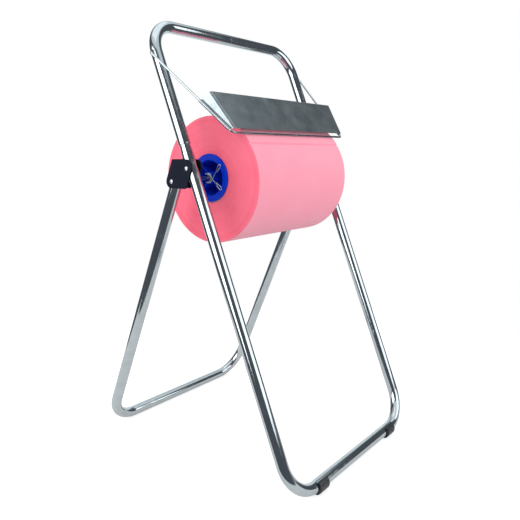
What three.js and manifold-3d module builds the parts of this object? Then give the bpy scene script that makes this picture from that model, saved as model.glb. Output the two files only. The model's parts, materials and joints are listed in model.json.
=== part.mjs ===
// Folding floor stand for a jumbo paper roll, in millimetres, +Z up.
// X runs along the roll, the tear bar faces -Y, and the origin lies on the floor
// under the middle of the stand. Each left piece is modelled at -X.
import * as THREE from "three";
import { mergeVertices } from "three/addons/utils/BufferGeometryUtils.js";
import Module from "manifold-3d";

const wasm = await Module();
wasm.setup();

// Fits shared by the whole stand
const gap = 0.3;
const cutOverrun = 3;
const weldTolerance = 1e-4;

// Bent tube frames, each leg measured along itself from the fold pivot
const tubeRadius = 12.5;
const tubeWall = 1.5;
const legHalfSpan = 240;
const legBendRadius = 75;
const archBendRadius = 67;
const frontLean = THREE.MathUtils.degToRad(22.1);
const rearLean = THREE.MathUtils.degToRad(23.65);
const frontLegBelowPivot = 690.3;
const archTopAbovePivot = 317.7;
const archStartAbovePivot = 51;
const neckLength = 40;
const neckTaper = 22;
const neckBoreStep = 8;
const rearLegOffset = 29.8;
const rearLegTopBelowPivot = 8;
const tubeSides = 16;
const bendSteps = 8;

// Hinge brackets of black plastic and their rivets
const bracketCheek = 3;
const bracketBackWall = 2.8;
const bracketRoof = 3;
const bracketTopAbovePivot = 18.4;
const bracketBottomBelowPivot = 40.7;
const bracketFrontReach = 12.3;
const pivotCornerRadius = 14;
const backCornerRadius = 13.3;
const toeCornerRadius = 4;
const heelCornerRadius = 3;
const rivetShankRadius = 3;
const rivetHeadRadius = 4.7;
const rivetHeadHeight = 2.3;
const fixingRivetBelowPivot = 42.6;

// Spindle and its open seats in the inner cheeks
const spindleRadius = 8.25;
const spindleWall = 1.4;
const seatBehindPivot = 18.5;
const seatBelowPivot = 21.6;
const seatClearance = 0.35;
const seatRimWall = 2.8;
const seatRimDepth = 5;

// Paper roll, its core and the two cones that hold it
const paperRadius = 135;
const paperEndToLeg = 73;
const paperEdge = 1.5;
const coreWall = 2.7;
const rollSag = 5.2;
const coneFlangeRadius = 51;
const coneFlangeThickness = 4;
const coneFlangeRound = 1.2;
const coneBodyRadius = 39.5;
const coneNoseRadius = 34;
const coneDepth = 38;
const coneWall = 2;
const coneFloor = 2.5;
const coneBossWall = 4;
const coneRibThickness = 2.2;
const coneRibRecess = 5;
const coneRibs = 4;

// Spring clips of round wire on the spindle
const clipWireRadius = 1;
const clipCoilGap = 0.8;
const clipFullTurns = 2;
const clipStepsPerTurn = 8;
const clipArmSpread = THREE.MathUtils.degToRad(51);
const clipTurn = THREE.MathUtils.degToRad(4);
const clipArmLength = 42;
const clipArmShares = [0.2, 0.38];
const clipLoopLength = 18;
const clipLoopWidth = 6.8;
const clipLoopShares = [
  [0, 0],
  [0.5, 0.29],
  [0.78, 0.39],
  [0.94, 0.23],
  [1, -0.12],
  [0.94, -0.46],
  [0.78, -0.62],
  [0.5, -0.54],
  [0, -0.43],
];
const clipLowerArmDrift = 6;

// Tear bar: a bail of round wire with a bent sheet hung in it
const bailHoleAbovePivot = 250;
const bailWireRadius = 2.4;
const bailStandOff = 6.2;
const bailEndInside = 9;
const bailDrop = 237;
const bailBarHalfWidth = 205;
const bailEyeBend = 4;
const bailCornerBend = 10;
const bailBendSteps = 5;
const bailSides = 8;
const bushWall = 1.3;
const bushFlangeRadius = 5.8;
const bushFlangeThickness = 1;
const bushInside = 3.5;
const sheetThickness = 1;
const plateTopHalfWidth = 219;
const plateTopDrop = 148.8;
const plateTopForward = 26.9;
const plateLipDrop = 233.3;
const plateLipForward = 8.3;
const curlStart = 10;
const curlEnd = 95;
const curlSweep = THREE.MathUtils.degToRad(250);
const curlSteps = 10;

// Ribbed feet clipped round the front crossbar
const footRise = 16;
const footSoleSpread = 1.2;
const footLength = 32;
const footFromMiddle = 151;
const footStartAngle = THREE.MathUtils.degToRad(122);
const footEndAngle = THREE.MathUtils.degToRad(330);
const footRibs = 14;
const footRibDepth = 0.7;

// Sizes that follow from the ones above
const archBore = tubeRadius - tubeWall;
const neckRadius = archBore - gap;
const neckTop = archStartAbovePivot + neckLength;
const rivetHoleRadius = rivetShankRadius + gap;
const bracketInnerHalf = tubeRadius + gap;
const bracketHalf = bracketInnerHalf + bracketCheek;
const pivotHeight = footRise + frontLegBelowPivot * Math.cos(frontLean);
const rearLegBelowPivot =
  (pivotHeight + rearLegOffset * Math.sin(rearLean) - tubeRadius) / Math.cos(rearLean);
const frontReach = frontLegBelowPivot * Math.sin(frontLean) + footRise + footSoleSpread;
const rearReach =
  rearLegOffset * Math.cos(rearLean) + rearLegBelowPivot * Math.sin(rearLean) + tubeRadius;
const pivot = new THREE.Vector3(0, (frontReach - rearReach) / 2, pivotHeight);
const fixingRivetY =
  rearLegOffset * Math.cos(rearLean) + fixingRivetBelowPivot * Math.sin(rearLean);
const fixingRivetZ =
  rearLegOffset * Math.sin(rearLean) - fixingRivetBelowPivot * Math.cos(rearLean);
const seatHalfWidth = spindleRadius + seatClearance;
const spindleHalfLength = legHalfSpan - bracketInnerHalf - gap;
const spindleAxis = new THREE.Vector3(0, pivot.y + seatBehindPivot, pivot.z - seatBelowPivot);
const rollAxis = new THREE.Vector3(0, spindleAxis.y, spindleAxis.z - rollSag);
const coreInnerRadius = coneBodyRadius + rollSag + gap;
const coreOuterRadius = coreInnerRadius + coreWall;
const paperInnerRadius = coreOuterRadius + gap;
const coneBoreRadius = spindleRadius + gap;
const coneBossRadius = coneBoreRadius + coneBossWall;
const coneOpeningRadius = coneBodyRadius - coneWall;
const paperHalfLength = legHalfSpan - paperEndToLeg;
const flangeBackX = paperHalfLength + gap;
const bailHole = new THREE.Vector3(
  0,
  pivot.y + bailHoleAbovePivot * Math.sin(frontLean),
  pivot.z + bailHoleAbovePivot * Math.cos(frontLean),
);
const bailTopHalfWidth = legHalfSpan + tubeRadius + bailStandOff;
const bushBoreRadius = bailWireRadius + gap;
const bushBarrelRadius = bushBoreRadius + bushWall;

// Finishes
const chrome = new THREE.MeshStandardMaterial({ color: 0xc9d2d4, roughness: 0.12, metalness: 1 });
const zincSheet = new THREE.MeshStandardMaterial({
  color: 0x7a858b,
  roughness: 0.38,
  metalness: 0.9,
});
const brightWire = new THREE.MeshStandardMaterial({
  color: 0xd5dadb,
  roughness: 0.2,
  metalness: 1,
});
const blackPlastic = new THREE.MeshStandardMaterial({
  color: 0x14171d,
  roughness: 0.5,
  metalness: 0,
});
const bluePlastic = new THREE.MeshStandardMaterial({
  color: 0x0a33bd,
  roughness: 0.35,
  metalness: 0,
});
const pinkPaper = new THREE.MeshStandardMaterial({ color: 0xff7d97, roughness: 0.9, metalness: 0 });
const cardboard = new THREE.MeshStandardMaterial({ color: 0xa98a78, roughness: 0.9, metalness: 0 });

// A merged solid from any closed geometry, turned outwards if it was inside out
function solid(geometry) {
  const bare = geometry.clone();
  bare.deleteAttribute("normal");
  bare.deleteAttribute("uv");
  const merged = mergeVertices(bare, weldTolerance);
  const make = (triVerts) =>
    new wasm.Manifold(
      new wasm.Mesh({
        numProp: 3,
        vertProperties: new Float32Array(merged.attributes.position.array),
        triVerts,
      }),
    );
  const triVerts = new Uint32Array(merged.index.array);
  const made = make(triVerts);
  if (made.volume() >= 0) return made;
  for (let i = 0; i < triVerts.length; i += 3) {
    [triVerts[i + 1], triVerts[i + 2]] = [triVerts[i + 2], triVerts[i + 1]];
  }
  return make(triVerts);
}

// The solid's surface as a geometry again
function surface(made) {
  const { numProp, vertProperties, triVerts, numVert } = made.getMesh();
  const positions = new Float32Array(numVert * 3);
  for (let i = 0; i < numVert; i++) {
    positions.set(vertProperties.subarray(i * numProp, i * numProp + 3), i * 3);
  }
  const geometry = new THREE.BufferGeometry();
  geometry.setAttribute("position", new THREE.BufferAttribute(positions, 3));
  geometry.setIndex(new THREE.BufferAttribute(new Uint32Array(triVerts), 1));
  geometry.computeVertexNormals();
  return geometry;
}

function join(...solids) {
  return solids.reduce((whole, piece) => whole.add(piece));
}

function cut(whole, ...tools) {
  return tools.reduce((rest, tool) => rest.subtract(tool), whole);
}

function named(name, shape, material) {
  const geometry = shape.isBufferGeometry ? surface(solid(shape)) : surface(shape);
  const mesh = new THREE.Mesh(geometry, material);
  mesh.name = name;
  return mesh;
}

// A path through the points given, each of them one ring of a swept tube
class StationPath extends THREE.Curve {
  constructor(points) {
    super();
    this.points = points;
  }

  getPoint(t, target = new THREE.Vector3()) {
    return target.copy(this.points[Math.round(t * (this.points.length - 1))]);
  }

  getPointAt(u, target = new THREE.Vector3()) {
    return this.getPoint(u, target);
  }

  getTangent(t, target = new THREE.Vector3()) {
    const last = this.points.length - 1;
    const i = Math.round(t * last);
    const here = this.points[i];
    const before = this.points[Math.max(i - 1, 0)];
    const after = this.points[Math.min(i + 1, last)];
    const arriving = new THREE.Vector3().subVectors(here, before).normalize();
    const leaving = new THREE.Vector3().subVectors(after, here).normalize();
    return target.addVectors(arriving, leaving).normalize();
  }

  getTangentAt(u, target = new THREE.Vector3()) {
    return this.getTangent(u, target);
  }
}

// Points along straight runs whose inner corners are rounded to the radii given
function roundedRun(corners, radii, steps) {
  const points = [corners[0]];
  radii.forEach((radius, i) => {
    const corner = corners[i + 1];
    const back = new THREE.Vector3().subVectors(corners[i], corner).normalize();
    const ahead = new THREE.Vector3().subVectors(corners[i + 2], corner).normalize();
    const half = back.angleTo(ahead) / 2;
    const middle = new THREE.Vector3().addVectors(back, ahead).normalize();
    const centre = middle.clone().multiplyScalar(radius / Math.sin(half)).add(corner);
    const start = back.clone().multiplyScalar(radius / Math.tan(half)).add(corner).sub(centre);
    const axis = new THREE.Vector3().crossVectors(ahead, back).normalize();
    const turn = Math.PI - 2 * half;
    for (let k = 0; k <= steps; k++) {
      points.push(start.clone().applyAxisAngle(axis, (turn * k) / steps).add(centre));
    }
  });
  points.push(corners.at(-1));
  return points;
}

function polygon(radius, sides) {
  const points = [];
  for (let k = 0; k < sides; k++) {
    const angle = (2 * Math.PI * k) / sides;
    points.push(new THREE.Vector2(radius * Math.cos(angle), radius * Math.sin(angle)));
  }
  return points;
}

function sweep(points, radius, sides, boreRadius = 0) {
  const section = new THREE.Shape(polygon(radius, sides));
  if (boreRadius > 0) section.holes.push(new THREE.Path(polygon(boreRadius, sides)));
  return new THREE.ExtrudeGeometry(section, {
    steps: points.length - 1,
    extrudePath: new StationPath(points),
  });
}

// A profile of [radius, place along X] points turned round the X axis
function turnedAboutX(profile, sides, closed = false) {
  const points = profile.map(([radius, x]) => new THREE.Vector2(radius, x));
  if (closed) points.push(points[0].clone());
  return new THREE.LatheGeometry(points, sides).rotateZ(-Math.PI / 2);
}

function ringAboutX(innerRadius, outerRadius, halfLength, sides, edge = 0) {
  return turnedAboutX(
    [
      [innerRadius, -halfLength],
      [outerRadius - edge, -halfLength],
      [outerRadius, edge - halfLength],
      [outerRadius, halfLength - edge],
      [outerRadius - edge, halfLength],
      [innerRadius, halfLength],
    ],
    sides,
    true,
  );
}

function rodAboutX(radius, fromX, toX, sides = tubeSides) {
  const length = toX - fromX;
  return new THREE.CylinderGeometry(radius, radius, length, sides)
    .rotateZ(-Math.PI / 2)
    .translate(fromX + length / 2, 0, 0);
}

// A flat outline in the Y-Z plane given thickness along X
function slabAlongX(outline, fromX, toX) {
  const upright = new THREE.Matrix4().makeBasis(
    new THREE.Vector3(0, 1, 0),
    new THREE.Vector3(0, 0, 1),
    new THREE.Vector3(1, 0, 0),
  );
  return new THREE.ExtrudeGeometry(outline, { depth: toX - fromX, bevelEnabled: false })
    .applyMatrix4(upright)
    .translate(fromX, 0, 0);
}

function roundedOutline(corners, radii, steps) {
  const last = corners.length;
  const points = [];
  corners.forEach(([y, z], i) => {
    const corner = new THREE.Vector3(y, z, 0);
    const before = new THREE.Vector3(...corners[(i + last - 1) % last], 0);
    const after = new THREE.Vector3(...corners[(i + 1) % last], 0);
    const arc = roundedRun([before, corner, after], [radii[i]], steps).slice(1, -1);
    points.push(...arc.map((p) => new THREE.Vector2(p.x, p.y)));
  });
  return new THREE.Shape(points);
}

function frontTube(fromZ, bendZ, bendRadius) {
  const corners = [
    new THREE.Vector3(-legHalfSpan, 0, fromZ),
    new THREE.Vector3(-legHalfSpan, 0, bendZ),
    new THREE.Vector3(legHalfSpan, 0, bendZ),
    new THREE.Vector3(legHalfSpan, 0, fromZ),
  ];
  return roundedRun(corners, [bendRadius, bendRadius], bendSteps);
}

// Lower half of the front frame: one bent tube whose leg tops are drawn down to a neck
function lowerLegFrame() {
  const mainBoreTop = archStartAbovePivot - neckTaper - neckBoreStep;
  const slopeReach = (cutOverrun * neckTaper) / (tubeRadius - neckRadius);
  let frame = solid(
    sweep(frontTube(neckTop, -frontLegBelowPivot, legBendRadius), tubeRadius, tubeSides),
  );
  frame = cut(
    frame,
    solid(
      sweep(
        frontTube(mainBoreTop, -frontLegBelowPivot, legBendRadius),
        tubeRadius - tubeWall,
        tubeSides,
      ),
    ),
  );
  for (const side of [-1, 1]) {
    const collar = turnedAboutX(
      [
        [neckRadius, neckTop + cutOverrun],
        [neckRadius, archStartAbovePivot],
        [tubeRadius + cutOverrun, archStartAbovePivot - neckTaper - slopeReach],
        [tubeRadius + cutOverrun, neckTop + cutOverrun],
      ],
      tubeSides,
      true,
    );
    const bore = rodAboutX(neckRadius - tubeWall, mainBoreTop - cutOverrun, neckTop + cutOverrun);
    for (const tool of [collar, bore]) {
      tool.rotateY(-Math.PI / 2).translate(side * legHalfSpan, 0, 0);
      frame = cut(frame, solid(tool));
    }
  }
  const reach = legHalfSpan + tubeRadius + cutOverrun;
  return cut(frame, solid(rodAboutX(rivetHoleRadius, -reach, reach)));
}

// Upper half of the front frame: the carrying handle, pushed over the necks
function handleArch() {
  const tube = solid(
    sweep(
      frontTube(archStartAbovePivot, archTopAbovePivot, archBendRadius),
      tubeRadius,
      tubeSides,
      archBore,
    ),
  );
  const outside = legHalfSpan + tubeRadius + cutOverrun;
  const hole = rodAboutX(bushBarrelRadius + gap, -outside, -legHalfSpan);
  hole.translate(0, 0, bailHoleAbovePivot);
  const mirrored = hole.clone().scale(-1, 1, 1);
  return cut(tube, solid(hole), solid(mirrored));
}

function rearLegFrame() {
  const corners = [
    new THREE.Vector3(-legHalfSpan, rearLegOffset, -rearLegTopBelowPivot),
    new THREE.Vector3(-legHalfSpan, rearLegOffset, -rearLegBelowPivot),
    new THREE.Vector3(legHalfSpan, rearLegOffset, -rearLegBelowPivot),
    new THREE.Vector3(legHalfSpan, rearLegOffset, -rearLegTopBelowPivot),
  ];
  const points = roundedRun(corners, [legBendRadius, legBendRadius], bendSteps);
  const tube = solid(sweep(points, tubeRadius, tubeSides, tubeRadius - tubeWall));
  const reach = legHalfSpan + tubeRadius + cutOverrun;
  const hole = rodAboutX(rivetHoleRadius, -reach, reach);
  hole.translate(0, rearLegOffset, -fixingRivetBelowPivot);
  return cut(tube, solid(hole));
}

// Where a line along a leg, this far from the pivot, crosses a height
const alongRearLeg = (offset, z) => (offset - z * Math.sin(rearLean)) / Math.cos(rearLean);
const alongFrontLeg = (offset, z) => (offset + z * Math.sin(frontLean)) / Math.cos(frontLean);

function seatOutline(halfWidth, topZ) {
  const outline = new THREE.Shape();
  outline.moveTo(seatBehindPivot + halfWidth, topZ);
  outline.lineTo(seatBehindPivot - halfWidth, topZ);
  outline.lineTo(seatBehindPivot - halfWidth, -seatBelowPivot);
  outline.absarc(seatBehindPivot, -seatBelowPivot, halfWidth, Math.PI, 2 * Math.PI, false);
  outline.closePath();
  return outline;
}

// Bracket round the top of a rear leg: two cheeks over both legs, a back wall, and a
// roof whose front edge stops on the front leg when the stand is open
function hingeBracket() {
  const backReach = rearLegOffset + tubeRadius + gap + bracketBackWall;
  const top = bracketTopAbovePivot;
  const bottom = -bracketBottomBelowPivot;
  const outline = roundedOutline(
    [
      [alongRearLeg(-bracketFrontReach, top), top],
      [alongRearLeg(-bracketFrontReach, bottom), bottom],
      [alongRearLeg(backReach, bottom), bottom],
      [alongRearLeg(backReach, top), top],
    ],
    [pivotCornerRadius, toeCornerRadius, backCornerRadius, heelCornerRadius],
    6,
  );
  const cavityBack = backReach - bracketBackWall;
  const cavityFront = -bracketFrontReach - cutOverrun;
  const cavityTop = top + cutOverrun;
  const cavityBottom = bottom - cutOverrun;
  const roofUnderside = top - bracketRoof;
  const cavity = new THREE.Shape(
    [
      [alongRearLeg(cavityBack, roofUnderside), roofUnderside],
      [alongFrontLeg(tubeRadius + gap, roofUnderside), roofUnderside],
      [alongFrontLeg(tubeRadius + gap, cavityTop), cavityTop],
      [alongRearLeg(cavityFront, cavityTop), cavityTop],
      [alongRearLeg(cavityFront, cavityBottom), cavityBottom],
      [alongRearLeg(cavityBack, cavityBottom), cavityBottom],
    ].map(([y, z]) => new THREE.Vector2(y, z)),
  );
  const rim = seatOutline(seatHalfWidth + seatRimWall, top);
  const rimFace = bracketHalf + seatRimDepth;
  const slot = seatOutline(seatHalfWidth, cavityTop);
  const rivetHole = rodAboutX(rivetHoleRadius, -bracketHalf - cutOverrun, bracketHalf + cutOverrun);
  return cut(
    join(
      solid(slabAlongX(outline, -bracketHalf, bracketHalf)),
      solid(slabAlongX(rim, bracketHalf - bracketCheek / 2, rimFace)),
    ),
    solid(slabAlongX(cavity, -bracketInnerHalf, bracketInnerHalf)),
    solid(slabAlongX(slot, bracketInnerHalf - cutOverrun, rimFace + cutOverrun)),
    solid(rivetHole),
    solid(rivetHole.clone().translate(0, fixingRivetY, fixingRivetZ)),
  );
}

const rivetDomeShares = [
  [1, 0],
  [1, 0.3],
  [0.8, 0.72],
  [0.45, 0.95],
  [0, 1],
];

function rivet() {
  const seat = bracketHalf + gap;
  const head = rivetDomeShares.map(([radiusShare, heightShare]) => [
    rivetHeadRadius * radiusShare,
    seat + rivetHeadHeight * heightShare,
  ]);
  const farHead = head.map(([radius, x]) => [radius, -x]).reverse();
  return turnedAboutX(
    [...farHead, [rivetShankRadius, -seat], [rivetShankRadius, seat], ...head],
    tubeSides,
  );
}

// Foot: a ribbed clip round the crossbar with a flat sole
function footClip() {
  const outer = [];
  const inner = [];
  const steps = footRibs * 4;
  for (let k = 0; k <= steps; k++) {
    const angle = footStartAngle + ((footEndAngle - footStartAngle) * k) / steps;
    const inGroove = k % 4 === 3;
    const radius = footRise + footSoleSpread - (inGroove ? footRibDepth : 0);
    outer.push(
      new THREE.Vector2(
        radius * Math.cos(angle),
        Math.max(radius * Math.sin(angle), -footRise),
      ),
    );
    if (k % 4 === 0) {
      const reach = tubeRadius + gap;
      inner.push(new THREE.Vector2(reach * Math.cos(angle), reach * Math.sin(angle)));
    }
  }
  const outline = new THREE.Shape([...outer, ...inner.reverse()]);
  return slabAlongX(outline, -footLength / 2, footLength / 2);
}

// Cone: a flanged cup with a boss as long as the cup and ribs set back from the mouth.
// The left one is made; its mouth faces -X and its nose is inside the core.
function rollCone() {
  const mouth = -(flangeBackX + coneFlangeThickness);
  const nose = coneDepth - flangeBackX;
  const ribFace = mouth + coneRibRecess;
  const cup = turnedAboutX(
    [
      [coneFlangeRadius, -flangeBackX],
      [coneFlangeRadius, mouth + coneFlangeRound],
      [coneFlangeRadius - coneFlangeRound, mouth],
      [coneOpeningRadius, mouth],
      [coneNoseRadius - coneWall, nose - coneFloor],
      [coneBossRadius, nose - coneFloor],
      [coneBossRadius, mouth],
      [coneBoreRadius, mouth],
      [coneBoreRadius, nose],
      [coneNoseRadius, nose],
      [coneBodyRadius, -flangeBackX],
    ],
    32,
    true,
  );
  const room = turnedAboutX(
    [
      [0, ribFace],
      [coneBodyRadius - coneWall / 2, ribFace],
      [coneNoseRadius - coneWall / 2, nose - coneFloor / 2],
      [0, nose - coneFloor / 2],
    ],
    32,
  );
  const depth = nose - ribFace;
  let web = null;
  for (let k = 0; k < coneRibs / 2; k++) {
    const bar = new THREE.BoxGeometry(depth, coneRibThickness, 2 * coneBodyRadius)
      .translate(ribFace + depth / 2, 0, 0)
      .rotateX(Math.PI / coneRibs + (2 * Math.PI * k) / coneRibs);
    web = web ? join(web, solid(bar)) : solid(bar);
  }
  const bore = rodAboutX(coneBoreRadius, mouth - cutOverrun, nose + cutOverrun, 32);
  return cut(join(solid(cup), web.intersect(solid(room))), solid(bore));
}

// Spring clip: coils on the spindle and two arms that spread forward to drop-shaped loops.
// The upper arm lies along the cone's mouth, and the lower one, which leaves the coil's
// outer end, drifts inward more and more along its length.
function clipArm(coilEnd, spread, drift) {
  const ahead = new THREE.Vector3(0, -Math.cos(spread), Math.sin(spread));
  const across = new THREE.Vector3(0, ahead.z, -ahead.y).multiplyScalar(Math.sign(spread));
  const inward = new THREE.Vector3(1, 0, 0);
  const neck = clipArmLength - clipLoopLength;
  const places = [
    ...clipArmShares.map((share) => [clipArmLength * share, 0]),
    ...clipLoopShares.map(([along, aside]) => [
      neck + clipLoopLength * along,
      clipLoopWidth * aside,
    ]),
  ];
  return places.map(([along, aside]) =>
    coilEnd
      .clone()
      .addScaledVector(ahead, along)
      .addScaledVector(across, aside)
      .addScaledVector(inward, drift * (along / clipArmLength) ** 2),
  );
}

function springClipPoints() {
  const coilRadius = (spindleRadius + gap + clipWireRadius) / Math.cos(Math.PI / clipStepsPerTurn);
  const pitch = 2 * clipWireRadius + clipCoilGap;
  const endAngle = Math.PI / 2 + clipArmSpread;
  const sweepAngle = 2 * endAngle + clipFullTurns * 2 * Math.PI;
  const innerX = -(flangeBackX + coneFlangeThickness + gap + clipWireRadius);
  const outerX = innerX - (pitch * sweepAngle) / (2 * Math.PI);
  const coil = [];
  const steps = Math.ceil((clipStepsPerTurn * sweepAngle) / (2 * Math.PI));
  for (let k = 0; k <= steps; k++) {
    const angle = endAngle - (sweepAngle * k) / steps;
    coil.push(
      new THREE.Vector3(
        outerX + ((innerX - outerX) * k) / steps,
        coilRadius * Math.cos(angle),
        coilRadius * Math.sin(angle),
      ),
    );
  }
  const lower = clipArm(coil[0], -clipArmSpread, clipLowerArmDrift);
  const upper = clipArm(coil.at(-1), clipArmSpread, 0);
  const tilt = new THREE.Matrix4().makeRotationX(-clipTurn);
  return [...lower.reverse(), ...coil, ...upper].map((point) => point.applyMatrix4(tilt));
}

// Least distance between two parts of a wire that lie well apart along it
function leastSelfGap(points, wireRadius) {
  const samples = [];
  let travelled = 0;
  for (let i = 1; i < points.length; i++) {
    const run = points[i].distanceTo(points[i - 1]);
    const pieces = Math.ceil(run / (wireRadius / 2));
    for (let k = 0; k < pieces; k++) {
      samples.push({
        at: travelled + (run * k) / pieces,
        place: points[i - 1].clone().lerp(points[i], k / pieces),
      });
    }
    travelled += run;
  }
  let least = Infinity;
  samples.forEach((a, i) => {
    samples.slice(i + 1).forEach((b) => {
      if (b.at - a.at > 6 * wireRadius) least = Math.min(least, a.place.distanceTo(b.place));
    });
  });
  return least - 2 * wireRadius;
}

function bailWirePoints() {
  const inside = legHalfSpan + tubeRadius - bailEndInside;
  const half = [
    new THREE.Vector3(-inside, 0, 0),
    new THREE.Vector3(-bailTopHalfWidth, 0, 0),
    new THREE.Vector3(-bailBarHalfWidth, 0, -bailDrop),
  ];
  const mirrored = half.map((p) => new THREE.Vector3(-p.x, p.y, p.z)).reverse();
  const radii = [bailEyeBend, bailCornerBend, bailCornerBend, bailEyeBend];
  return roundedRun([...half, ...mirrored], radii, bailBendSteps);
}

// Bush in the upright's outer wall that the hooked wire end turns in
function bailBush() {
  const flangeFace = -(legHalfSpan + tubeRadius + gap);
  return turnedAboutX(
    [
      [bushBoreRadius, flangeFace - bushFlangeThickness],
      [bushFlangeRadius, flangeFace - bushFlangeThickness],
      [bushFlangeRadius, flangeFace],
      [bushBarrelRadius, flangeFace],
      [bushBarrelRadius, flangeFace + bushInside],
      [bushBoreRadius, flangeFace + bushInside],
    ],
    tubeSides,
    true,
  );
}

// A flat sheet from an outline in the plane of two directions, centred on that plane
function sheetIn(origin, acrossDirection, upDirection, outline) {
  const facing = new THREE.Vector3().crossVectors(acrossDirection, upDirection).normalize();
  const place = new THREE.Matrix4()
    .makeBasis(acrossDirection, upDirection, facing)
    .setPosition(origin);
  const shape = new THREE.Shape(outline.map(([a, b]) => new THREE.Vector2(a, b)));
  return new THREE.ExtrudeGeometry(shape, { depth: sheetThickness, bevelEnabled: false })
    .translate(0, 0, -sheetThickness / 2)
    .applyMatrix4(place);
}

// Tear plate: a leaning panel whose side flanges run back to the arms and curl round them.
// A flange's plane touches the middle of the curl's wall on the inner side of the wire.
function tearPlate() {
  const lean = (bailTopHalfWidth - bailBarHalfWidth) / Math.hypot(
    bailTopHalfWidth - bailBarHalfWidth,
    bailDrop,
  );
  const upright = Math.sqrt(1 - lean * lean);
  const along = new THREE.Vector3(-lean, 0, upright);
  const inward = new THREE.Vector3(upright, 0, lean);
  const rearward = new THREE.Vector3(0, 1, 0);
  const armTop = new THREE.Vector3(-bailTopHalfWidth, 0, 0);
  const armFoot = new THREE.Vector3(-bailBarHalfWidth, 0, -bailDrop);
  const curlRadius = bailWireRadius + gap + sheetThickness / 2;

  const topCorner = new THREE.Vector3(-plateTopHalfWidth, -plateTopForward, -plateTopDrop);
  const seen = topCorner.clone().sub(armTop);
  const seenInward = seen.dot(inward);
  const seenRearward = seen.dot(rearward);
  const touch =
    Math.atan2(seenRearward, seenInward) +
    Math.acos(curlRadius / Math.hypot(seenInward, seenRearward));
  const flangeNormal = inward
    .clone()
    .multiplyScalar(Math.cos(touch))
    .addScaledVector(rearward, Math.sin(touch));
  const lipX =
    -bailTopHalfWidth +
    (curlRadius + flangeNormal.y * plateLipForward + flangeNormal.z * plateLipDrop) /
      flangeNormal.x;
  const lipCorner = new THREE.Vector3(lipX, -plateLipForward, -plateLipDrop);

  const towardsPlate = inward
    .clone()
    .multiplyScalar(Math.sin(touch))
    .addScaledVector(rearward, -Math.cos(touch));
  const touchFoot = armFoot.clone().addScaledVector(flangeNormal, curlRadius);
  const inFlange = (corner) => {
    const seenFrom = corner.clone().sub(touchFoot);
    return [seenFrom.dot(towardsPlate), seenFrom.dot(along)];
  };
  const flange = sheetIn(touchFoot, towardsPlate, along, [
    [0, curlStart],
    inFlange(lipCorner),
    inFlange(topCorner),
    [0, curlEnd],
  ]);

  const curlOuter = [];
  const curlInner = [];
  for (let k = 0; k <= curlSteps; k++) {
    const angle = touch + (curlSweep * k) / curlSteps;
    const direction = new THREE.Vector2(Math.cos(angle), Math.sin(angle));
    curlOuter.push(direction.clone().multiplyScalar(curlRadius + sheetThickness / 2));
    curlInner.push(direction.clone().multiplyScalar(curlRadius - sheetThickness / 2));
  }
  const curlSection = new THREE.Shape([...curlOuter, ...curlInner.reverse()]);
  const curl = new THREE.ExtrudeGeometry(curlSection, {
    depth: curlEnd - curlStart,
    bevelEnabled: false,
  }).applyMatrix4(
    new THREE.Matrix4()
      .makeBasis(inward, rearward, along)
      .setPosition(armFoot.clone().addScaledVector(along, curlStart)),
  );

  const rise = new THREE.Vector3(0, topCorner.y - lipCorner.y, topCorner.z - lipCorner.z);
  const panelHeight = rise.length();
  const panel = sheetIn(
    new THREE.Vector3(0, lipCorner.y, lipCorner.z),
    new THREE.Vector3(1, 0, 0),
    rise.normalize(),
    [
      [lipCorner.x, 0],
      [-lipCorner.x, 0],
      [-topCorner.x, panelHeight],
      [topCorner.x, panelHeight],
    ],
  );
  const sides = [flange, curl].flatMap((piece) => [
    solid(piece),
    solid(piece.clone().scale(-1, 1, 1)),
  ]);
  return join(solid(panel), ...sides);
}

// How far the bail's arms hang round when its bar lies on the roll
function bailRestAngle() {
  const toRoll = new THREE.Vector3().subVectors(rollAxis, bailHole);
  const distance = toRoll.length();
  const clear = paperRadius + bailWireRadius + gap;
  const between = Math.acos(
    (bailDrop ** 2 + distance ** 2 - clear ** 2) / (2 * bailDrop * distance),
  );
  const down = Math.atan2(toRoll.z, toRoll.y) - between;
  return Math.atan2(Math.cos(down), -Math.sin(down));
}

// Assembly: each frame is a group turned about the fold pivot
const stand = new THREE.Group();

const frontFrame = new THREE.Group();
frontFrame.position.copy(pivot);
frontFrame.rotation.x = -frontLean;
frontFrame.add(
  named("lower_leg_frame", lowerLegFrame(), chrome),
  named("upper_handle_arch", handleArch(), chrome),
);

const rearFrame = new THREE.Group();
rearFrame.position.copy(pivot);
rearFrame.rotation.x = rearLean;
rearFrame.add(named("rear_leg_frame", rearLegFrame(), chrome));

const bail = new THREE.Group();
bail.position.copy(bailHole);
bail.rotation.x = bailRestAngle();
const bailWire = sweep(bailWirePoints(), bailWireRadius, bailSides);
bail.add(
  named("bail_wire", bailWire, brightWire),
  named("tear_plate", tearPlate(), zincSheet),
);

const spindle = ringAboutX(spindleRadius - spindleWall, spindleRadius, spindleHalfLength, 24);
const spindleMesh = named("roll_spindle", spindle, chrome);
spindleMesh.position.copy(spindleAxis);

const roll = new THREE.Group();
roll.position.copy(rollAxis);
const core = ringAboutX(coreInnerRadius, coreOuterRadius, paperHalfLength, 40);
const paper = ringAboutX(paperInnerRadius, paperRadius, paperHalfLength, 72, paperEdge);
roll.add(
  named("cardboard_core", core, cardboard),
  named("paper_roll", paper, pinkPaper),
);
stand.add(frontFrame, rearFrame, bail, spindleMesh, roll);

const clipPoints = springClipPoints();
const clipWire = sweep(clipPoints, clipWireRadius, 5);

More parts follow.
